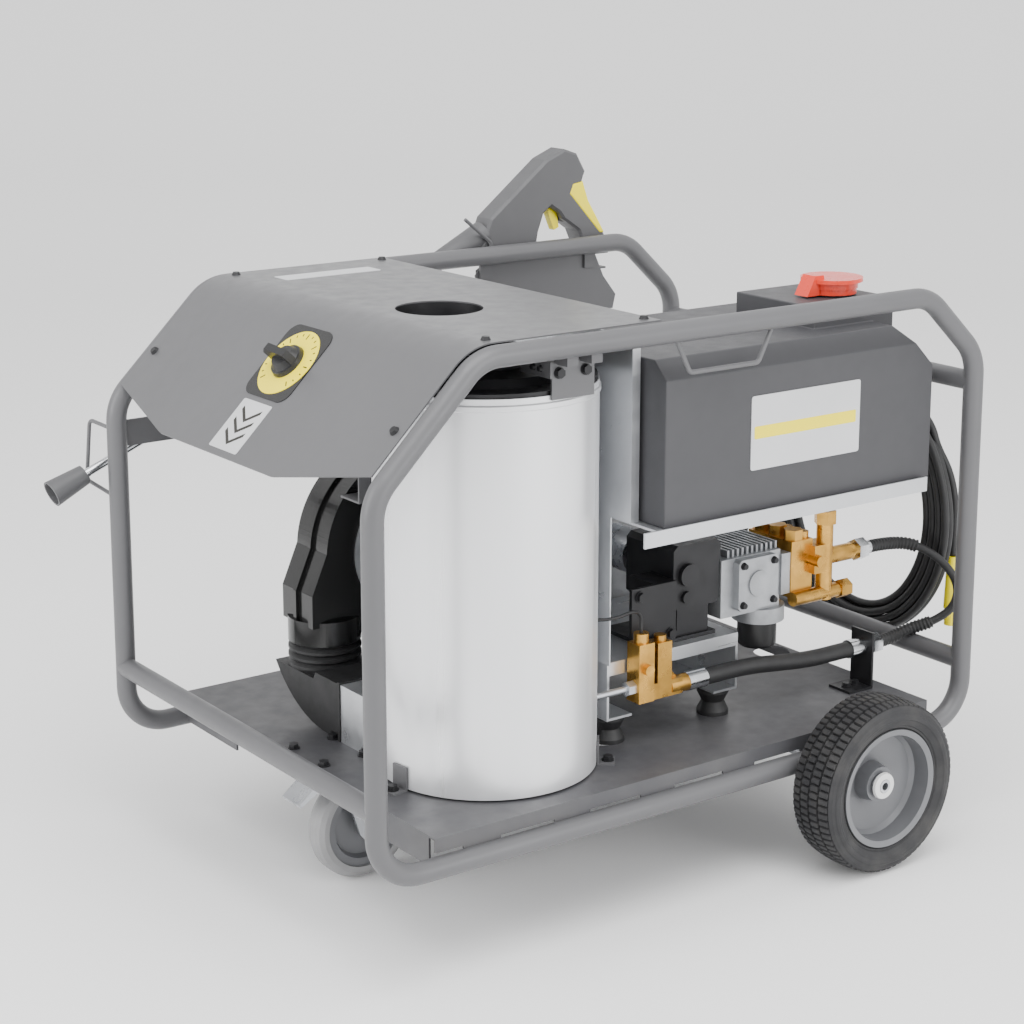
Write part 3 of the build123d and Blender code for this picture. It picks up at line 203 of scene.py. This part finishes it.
MAT = {
    "frame": surface("frame_paint", linear(96, 96, 98), 0.42, 0.15, (900, 0.10, 0.0003), (4, 0.05), 0.05),
    "hood": surface("hood_paint", linear(98, 98, 100), 0.34, 0.25, (1100, 0.12, 0.0003), (3, 0.04), 0.05),
    "deck": surface("deck_paint", linear(76, 76, 79), 0.45, 0.15, (900, 0.14, 0.0003), (4, 0.06), 0.07,
                    dirt=(linear(140, 138, 134), 9, 0.18)),
    "jacket": surface("jacket_steel", linear(236, 237, 239), 0.34, 0.55, (260, 0.06, 0.0004),
                      (3, 0.02), 0.08,
                      stretch=(1, 1, 0.02)),
    "sheet": surface("sheet_steel", linear(205, 207, 210), 0.36, 0.85, (420, 0.12, 0.0003), (6, 0.06), 0.10,
                     stretch=(0.06, 1, 1), dirt=(linear(150, 152, 156), 14, 0.25)),
    "zinc": surface("zinc_steel", linear(196, 198, 202), 0.30, 0.9, (500, 0.12, 0.0004), (20, 0.10), 0.10),
    "chrome": surface("polished_steel", linear(215, 217, 220), 0.18, 1.0, (800, 0.04, 0.0002),
                      (12, 0.04), 0.06),
    "dark_steel": surface("black_steel", linear(38, 38, 40), 0.42, 0.35, (700, 0.16, 0.0004),
                          (12, 0.15), 0.10),
    "coil": surface("scaled_steel", linear(92, 86, 80), 0.6, 0.6, (300, 0.3, 0.001), (12, 0.2), 0.1),
    "cast": surface("cast_aluminium", linear(176, 178, 181), 0.50, 0.75, (520, 0.45, 0.0008),
                    (18, 0.10), 0.12,
                    dirt=(linear(96, 96, 98), 30, 0.30)),
    "brass": surface("brass", linear(205, 158, 78), 0.32, 0.95, (420, 0.16, 0.0005), (25, 0.14), 0.12,
                     dirt=(linear(134, 92, 40), 45, 0.45)),
    "tank": surface("tank_plastic", linear(62, 62, 65), 0.50, 0.0, (1500, 0.30, 0.0003), (3, 0.05), 0.05),
    "gun": surface("gun_plastic", linear(84, 84, 86), 0.52, 0.0, (1800, 0.30, 0.0003), (6, 0.05), 0.06),
    "black": surface("black_plastic", linear(27, 27, 28), 0.36, 0.0, (900, 0.16, 0.0004), (9, 0.14), 0.08),
    "gloss_black": surface("gloss_black", linear(20, 20, 20), 0.20, 0.0, (300, 0.04, 0.0003),
                           (9, 0.10), 0.05),
    "yellow": surface("yellow_plastic", linear(252, 232, 0), 0.42, 0.0, (1200, 0.20, 0.0003),
                      (9, 0.05), 0.05),
    "yellow_print": surface("yellow_print", linear(255, 234, 0), 0.38, 0.0, (600, 0.03, 0.0001),
                            (9, 0.02), 0.04),
    "black_print": surface("black_print", linear(28, 26, 18), 0.45, 0.0, (600, 0.03, 0.0001),
                           (20, 0.06), 0.04),
    "silver_print": surface("silver_print", linear(212, 213, 215), 0.34, 0.35,
                            (900, 0.05, 0.0001), (14, 0.03), 0.05),
    "red": surface("red_plastic", linear(226, 58, 32), 0.30, 0.0, (900, 0.08, 0.0003),
                   (9, 0.06), 0.06, coat=0.3),
    "rim": surface("rim_paint", linear(112, 113, 116), 0.36, 0.30, (900, 0.12, 0.0003), (9, 0.07), 0.06),
    "rubber": surface("black_rubber", linear(32, 32, 33), 0.55, 0.0, (900, 0.35, 0.0004), (14, 0.14), 0.08),
    "tyre": surface("tyre_rubber", linear(38, 38, 40), 0.68, 0.0, (700, 0.40, 0.0006), (10, 0.12), 0.08,
                    dirt=(linear(92, 90, 86), 26, 0.22)),
    "caster": surface("caster_rubber", linear(148, 148, 149), 0.58, 0.0, (700, 0.25, 0.0005),
                      (12, 0.07), 0.06,
                      dirt=(linear(98, 96, 92), 20, 0.25)),
    "white": surface("white_nylon", linear(228, 228, 226), 0.40, 0.0, (500, 0.08, 0.0003), (14, 0.03), 0.05),
    "hose_print": surface("hose_print", linear(224, 196, 30), 0.5, 0.0, (900, 0.1, 0.0002),
                          (60, 0.12), 0.05),
}

CAD_FINISH = {
    "near_side_loop": "frame", "far_side_loop": "frame", "frame_crossbars": "frame", "frame_hooks": "frame",
    "deck": "deck", "hood": "hood", "dial_plate": "gloss_black", "thermostat_body": "black",
    "drum_jacket": "jacket", "drum_lid": "dark_steel", "flue_collar": "dark_steel", "heating_coil": "coil",
    "steel_brackets": "frame", "fasteners": "dark_steel", "air_box": "sheet", "air_boot": "rubber",
    "blower_near_shell": "black", "blower_far_shell": "black", "blower_motor": "cast", "blower_fan": "sheet",
    "filler_cap": "red", "tank_tray": "sheet", "bulkhead_panel": "sheet", "engine_platform": "sheet",
    "rubber_mounts": "rubber", "engine_block": "cast", "drive_shaft": "zinc", "pump_gearbox": "dark_steel",
    "pump_crankcase": "cast", "pump_head": "brass", "filter_cup": "black", "hose_bracket": "dark_steel",
    "hose_fittings": "chrome", "flow_valve": "brass", "drum_pipe": "zinc", "hose_outlet": "brass",
    "hose_guard": "yellow", "gun_holder": "frame", "axle": "zinc", "near_rim": "rim", "far_rim": "rim",
    "caster_plate": "zinc", "caster_fork": "zinc", "caster_wheel": "rim", "caster_tyre": "caster",
    "brake_pedal": "zinc", "gun_trigger": "yellow", "lance_tube": "chrome", "nozzle_guard": "gun",
    "tank": "tank", "gun_shell": "gun", "gun_grip": "yellow", "dial_knob": "black", "near_tyre": "tyre",
    "far_tyre": "tyre", "sensor_cable": "rubber", "feed_hose": "rubber", "pump_hose": "rubber",
    "hose_ends": "rubber", "hose_coil": "rubber",
}


def paint(obj, finish):
    obj.data.materials.clear()
    obj.data.materials.append(MAT[finish])


def paint_cad():
    for name, finish in CAD_FINISH.items():
        paint(NODES[name], finish)


# ================================================================ mesh helpers
def piece(name, mesh, finish, body, smooth=True):
    obj = bpy.data.objects.new(name, mesh)
    bpy.context.scene.collection.objects.link(obj)
    paint(obj, finish)
    for face in mesh.polygons:
        face.use_smooth = smooth
    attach(obj, body)
    return obj


def bevel(obj, width, segments=3, angle=30.0):
    cut = obj.modifiers.new("bevel", "BEVEL")
    cut.width = width
    cut.segments = segments
    cut.limit_method = "ANGLE"
    cut.angle_limit = math.radians(angle)
    cut.harden_normals = False
    return obj


def mesh_from(bm, name):
    bmesh.ops.recalc_face_normals(bm, faces=bm.faces)
    mesh = bpy.data.meshes.new(name)
    bm.to_mesh(mesh)
    bm.free()
    return mesh


def prism(name, outline, place, low, high):
    """An outline of (x, y) points pushed from low to high along z, in the local frame of a matrix."""
    bm = bmesh.new()
    bottom = [bm.verts.new(place @ Vector((x, y, low))) for x, y in outline]
    top = [bm.verts.new(place @ Vector((x, y, high))) for x, y in outline]
    bm.faces.new(bottom)
    bm.faces.new(top)
    count = len(outline)
    for i in range(count):
        j = (i + 1) % count
        bm.faces.new((bottom[i], bottom[j], top[j], top[i]))
    return mesh_from(bm, name)


def lathe(name, outline, place, steps=96):
    """A closed outline of (radius, height) points turned about the local z axis of a matrix."""
    bm = bmesh.new()
    rings = []
    for step in range(steps):
        angle = 2 * math.pi * step / steps
        turn = Vector((math.cos(angle), math.sin(angle)))
        rings.append([bm.verts.new(place @ Vector((r * turn.x, r * turn.y, h))) for r, h in outline])
    for step in range(steps):
        here = rings[step]
        after = rings[(step + 1) % steps]
        for i in range(len(outline)):
            j = (i + 1) % len(outline)
            bm.faces.new((here[i], here[j], after[j], after[i]))
    bmesh.ops.remove_doubles(bm, verts=bm.verts, dist=1e-7)
    return mesh_from(bm, name)


def rounded(width, height, radius, steps=6):
    """A rectangle with round corners, centred on the origin."""
    points = []
    for corner, (sx, sy) in enumerate(((1, 1), (-1, 1), (-1, -1), (1, -1))):
        cx = sx * (width / 2 - radius)
        cy = sy * (height / 2 - radius)
        for step in range(steps + 1):
            angle = math.radians(90 * corner + 90 * step / steps)
            points.append((cx + radius * math.cos(angle), cy + radius * math.sin(angle)))
    return points


def smooth_line(points, order=3, resolution=8):
    """The points of a smooth NURBS line with these control points."""
    data = bpy.data.curves.new("line", "CURVE")
    data.dimensions = "3D"
    data.resolution_u = resolution
    spline = data.splines.new("NURBS")
    spline.points.add(len(points) - 1)
    for point, place in zip(spline.points, points):
        point.co = (*place, 1.0)
    spline.order_u = order
    spline.use_endpoint_u = True
    holder = bpy.data.objects.new("line", data)
    bpy.context.scene.collection.objects.link(holder)
    bpy.context.view_layer.update()
    mesh = bpy.data.meshes.new_from_object(holder)
    line = [vertex.co.copy() for vertex in mesh.vertices]
    bpy.data.objects.remove(holder)
    bpy.data.curves.remove(data)
    bpy.data.meshes.remove(mesh)
    return line


def resample(line, step):
    """The same line with points an even step apart."""
    lengths = [0.0]
    for a, b in zip(line, line[1:]):
        lengths.append(lengths[-1] + (b - a).length)
    count = max(2, round(lengths[-1] / step))
    even = []
    segment = 0
    for i in range(count + 1):
        goal = lengths[-1] * i / count
        while segment < len(line) - 2 and lengths[segment + 1] < goal:
            segment += 1
        span = max(1e-9, lengths[segment + 1] - lengths[segment])
        even.append(line[segment].lerp(line[segment + 1], (goal - lengths[segment]) / span))
    return even


def tube(name, line, radius_at, sides=14, first_side=None, stripe=None):
    """A round tube along a line. radius_at(distance from start, distance to end) gives its radius.

    stripe is (first side, last side, dash length, gap length) of a printed line, as material 1.
    """
    bm = bmesh.new()
    total = sum((b - a).length for a, b in zip(line, line[1:]))
    up = first_side or Vector((0.0, 0.0, 1.0))
    travelled = 0.0
    rings = []
    for i, point in enumerate(line):
        before = line[max(0, i - 1)]
        after = line[min(len(line) - 1, i + 1)]
        along = (after - before).normalized()
        side = (up - along * up.dot(along)).normalized()
        other = along.cross(side)
        up = side
        if i:
            travelled += (point - line[i - 1]).length
        radius = radius_at(travelled, total - travelled)
        ring = []
        for k in range(sides):
            angle = 2 * math.pi * k / sides
            ring.append(bm.verts.new(point + (side * math.cos(angle) + other * math.sin(angle)) * radius))
        rings.append((ring, travelled))
    for (here, start), (after, _) in zip(rings, rings[1:]):
        for k in range(sides):
            j = (k + 1) % sides
            face = bm.faces.new((here[k], here[j], after[j], after[k]))
            if stripe and stripe[0] <= k < stripe[1] and start % (stripe[2] + stripe[3]) < stripe[2]:
                face.material_index = 1
    bm.faces.new(rings[0][0])
    bm.faces.new(rings[-1][0])
    return mesh_from(bm, name)


def metres(*points):
    return [Vector(point) / 1000 for point in points]


# ================================================================ high-pressure hose
HOSE_D = 0.013
COIL_MIDDLE = Vector((0.600, -0.055, 0.430))
COIL_OUTER = (0.2055, 0.2195)
COIL_PITCH = 0.0132
LEAD = metres((557, 180, 296), (557, 180, 330), (566, 176, 366), (582, 163, 402))
TAIL = metres((613, -210, 552), (624, -228, 516), (630, -238, 470), (628.5, -240, 422), (628.5, -240, 376))


def coil_points(first=2.0, last=2655.0, per_turn=18):
    """Turns that spiral in on the machine's side of the ring, cross over, and spiral out again."""
    count = round((last - first) / 360 * per_turn)
    points = []
    for i in range(count + 1):
        share = i / count
        angle = math.radians(first + (last - first) * share)
        turns_in = (1 - abs(2 * share - 1)) * (last - first) / 720
        across = min(1.0, max(0.0, (share - 0.49) / 0.02))
        widen = 1 / math.cos(math.pi / per_turn)
        reach_y = (COIL_OUTER[0] - COIL_PITCH * turns_in) * widen
        reach_z = (COIL_OUTER[1] - COIL_PITCH * turns_in) * widen
        points.append(
            COIL_MIDDLE
            + Vector((-0.0072 + 0.0144 * across, reach_y * math.cos(angle), reach_z * math.sin(angle)))
        )
    return points


def pressure_hose():
    """The hose on its hook: outlet, turns, and the loose end in its yellow guard."""
    line = resample(smooth_line(LEAD + coil_points() + TAIL), 0.006)
    side = Vector((0.0, 1.0, 0.3))
    mesh = tube("pressure_hose", line, lambda a, b: HOSE_D / 2, 12, side, (3, 5, 0.34, 0.05))
    obj = piece("pressure_hose", mesh, "rubber", MACHINE)
    mesh.materials.append(MAT["hose_print"])
    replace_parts(obj, "hose_ends", "hose_coil")


# ================================================================ short hose at the pump
PUMP_HOSE = metres(
    (462, -215, 413), (506, -215, 413), (545, -236, 409), (574, -266, 386), (590, -290, 350),
    (582, -292, 314), (558, -274, 290), (524, -250, 277), (490, -240, 264), (464, -240, 264),
)


PUMP_HOSE_R = 0.0065
GUARD_RIB_R = 0.0102
GUARD_VALLEY_R = 0.0088
GUARD_FIRST = 0.090
GUARD_LAST = 0.100
RIB_STEP = 0.003


def guarded_radius(start, end):
    """A plain hose with a ribbed bend guard over its first 90 mm and its last 100 mm."""
    if start > GUARD_FIRST and end > GUARD_LAST:
        return PUMP_HOSE_R
    return GUARD_RIB_R if int(start / RIB_STEP) % 2 else GUARD_VALLEY_R


def pump_hose():
    line = resample(smooth_line(PUMP_HOSE), 0.0015)
    mesh = tube("pump_hose_ribbed", line, guarded_radius, 16)
    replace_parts(piece("pump_hose_ribbed", mesh, "rubber", MACHINE), "pump_hose")


# ================================================================ moulded parts and tyres
def softened(node, finish, body, width):
    """A rounded copy of a CAD part: its flat faces are merged, then its edges are rounded."""
    bm = bmesh.new()
    bm.from_mesh(NODES[node].data)
    bmesh.ops.remove_doubles(bm, verts=bm.verts, dist=1e-6)
    bmesh.ops.dissolve_limit(bm, angle_limit=math.radians(1), verts=bm.verts, edges=bm.edges)
    name = node + "_moulded"
    obj = piece(name, mesh_from(bm, name), finish, body, smooth=False)
    bevel(obj, width)
    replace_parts(obj, node)


def moulded_parts():
    softened("tank", "tank", MACHINE, 0.010)
    softened("gun_shell", "gun", "gun", 0.005)
    softened("gun_grip", "yellow", "gun", 0.003)
    softened("blower_near_shell", "gloss_black", MACHINE, 0.006)
    softened("blower_far_shell", "gloss_black", MACHINE, 0.006)


WHEEL_PLACE = (0.290, 0.4145, 0.130)
TREAD_RIBS = (-0.027, -0.009, 0.009, 0.027)
RIB_HALF = 0.0072
GROOVE = 0.0040
SIDEWALL = [
    (0.0830, 0.0308), (0.0900, 0.0325), (0.0920, 0.0345), (0.0945, 0.0345), (0.0960, 0.0365),
    (0.1040, 0.0405), (0.1060, 0.0422), (0.1100, 0.0425), (0.1130, 0.0418), (0.1150, 0.0402),
    (0.1200, 0.0398), (0.1245, 0.0360),
]
TYRE_INSIDE = [
    (0.083, 0.024), (0.094, 0.026), (0.108, 0.033), (0.119, 0.024), (0.121, 0.0),
    (0.119, -0.024), (0.108, -0.033), (0.094, -0.026), (0.083, -0.024),
]


def crown(across):
    """The tread's radius at a distance from the wheel's middle."""
    return 0.130 - 0.003 * (across / 0.034) ** 2


def tyre_section(step):
    """The tyre's closed outline at one step round the wheel, with some ribs cut through."""
    section = [(radius, -across) for radius, across in SIDEWALL]
    for row, middle in enumerate(TREAD_RIBS):
        low, high = middle - RIB_HALF, middle + RIB_HALF
        top = GROOVE if (step + 2 * row) % 5 == 0 else 0.0
        section.append((crown(low) - GROOVE, low - 0.0004))
        section.append((crown(low) - top, low))
        section.append((crown(high) - top, high))
        section.append((crown(high) - GROOVE, high + 0.0004))
    section += [(radius, across) for radius, across in reversed(SIDEWALL)]
    return section + TYRE_INSIDE


def tyre(side, node, body, steps=360):
    """A tyre with four ribs of tread blocks and moulded rings on its sidewalls."""
    x, y, z = WHEEL_PLACE
    bm = bmesh.new()
    rings = []
    for step in range(steps):
        angle = 2 * math.pi * step / steps
        ring = []
        for radius, across in tyre_section(step):
            place = (x + radius * math.cos(angle), side * y + across, z + radius * math.sin(angle))
            ring.append(bm.verts.new(place))
        rings.append(ring)
    for step in range(steps):
        here = rings[step]
        after = rings[(step + 1) % steps]
        for i in range(len(here)):
            j = (i + 1) % len(here)
            bm.faces.new((here[i], here[j], after[j], after[i]))
    name = node + "_treaded"
    obj = piece(name, mesh_from(bm, name), "tyre", body, smooth=False)
    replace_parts(obj, node)


def hub_ring(side):
    """The white bearing ring round each axle end."""
    x, y, z = WHEEL_PLACE
    place = Matrix.Translation((x, 0.0, z)) @ Matrix.Rotation(math.radians(-90), 4, "X")
    section = [(0.0105, 0.4345), (0.0200, 0.4345), (0.0190, 0.4385), (0.0105, 0.4395)]
    outline = [(radius, side * across) for radius, across in section]
    name = "near_hub_ring" if side < 0 else "far_hub_ring"
    piece(name, lathe(name, outline, place), "white", MACHINE, smooth=False)


# ================================================================ printed and fixed trim
SLANT = Matrix.Translation((-0.533, 0.0, 0.669)) @ Matrix(
    ((0.71149, 0.0, 0.70271), (0.0, 1.0, 0.0), (-0.70271, 0.0, 0.71149))
).transposed().to_4x4()
TANK_FACE = Matrix.Translation((0.215, -0.330, 0.6625)) @ Matrix(
    ((1.0, 0.0, 0.0), (0.0, 0.0, 1.0), (0.0, -1.0, 0.0))
).transposed().to_4x4()


def dial_scale():
    """The yellow scale behind the knob, with a plain ring of marks."""
    place = SLANT @ Matrix.Translation((0.137, -0.011, 0.0))
    disc = lathe("dial_scale", [(0.008, 0.0181), (0.054, 0.0181), (0.0535, 0.0189), (0.008, 0.0189)], place)
    piece("dial_scale", disc, "yellow_print", MACHINE, smooth=False)
    for mark in range(19):
        turned = place @ Matrix.Rotation(math.radians(15 * mark - 135), 4, "Z")
        length = 0.009 if mark % 3 == 0 else 0.004
        shifted = turned @ Matrix.Translation((0.049 - length / 2, 0.0, 0.0))
        name = "dial_mark_" + str(mark)
        mesh = prism(name, rounded(length, 0.0016, 0.0006), shifted, 0.0188, 0.0192)
        piece(name, mesh, "black_print", MACHINE, smooth=False)


def slope_sticker():
    """A plain silver label with three nested arrows that point down the slope."""
    place = SLANT @ Matrix.Translation((0.027, -0.012, 0.0))
    label = prism("slope_label", rounded(0.082, 0.075, 0.003), place, 0.0170, 0.0174)
    piece("slope_label", label, "silver_print", MACHINE, smooth=False)
    for row in range(3):
        tip = -0.032 + 0.019 * row
        arrow = [
            (tip, 0.0), (tip + 0.018, 0.024), (tip + 0.024, 0.024),
            (tip + 0.006, 0.0), (tip + 0.024, -0.024), (tip + 0.018, -0.024),
        ]
        name = "slope_arrow_" + str(row)
        mesh = prism(name, arrow, place, 0.0173, 0.0177)
        piece(name, mesh, "black_print", MACHINE, smooth=False)


def plates():
    """Blank plates: a silver badge with a yellow bar on the tank, and a strip on the roof."""
    badge = prism("tank_badge", rounded(0.210, 0.107, 0.004), TANK_FACE, 0.0, 0.0012)
    piece("tank_badge", badge, "silver_print", MACHINE, smooth=False)
    bar_place = TANK_FACE @ Matrix.Translation((-0.001, 0.0005, 0.0))
    bar = prism("tank_badge_bar", rounded(0.196, 0.018, 0.002), bar_place, 0.0011, 0.0016)
    piece("tank_badge_bar", bar, "yellow_print", MACHINE, smooth=False)
    strip_place = Matrix.Translation((-0.224, 0.253, 0.846))
    strip = prism("roof_strip", rounded(0.166, 0.038, 0.003), strip_place, 0.0, 0.0008)
    piece("roof_strip", strip, "silver_print", MACHINE, smooth=False)


def exhaust_ring():
    """The dark heat ring that hangs below the roof's exhaust opening."""
    outline = [(0.0612, 0.812), (0.0640, 0.812), (0.0640, 0.8436), (0.0612, 0.8436)]
    mesh = lathe("exhaust_ring", outline, Matrix.Translation((-0.257, -0.095, 0.0)))
    piece("exhaust_ring", mesh, "dark_steel", MACHINE, smooth=False)


camera()
studio()
paint_cad()
pressure_hose()
pump_hose()
moulded_parts()
tyre(-1, "near_tyre", "near_wheel")
tyre(1, "far_tyre", "far_wheel")
hub_ring(-1)
hub_ring(1)
dial_scale()
slope_sticker()
plates()
exhaust_ring()
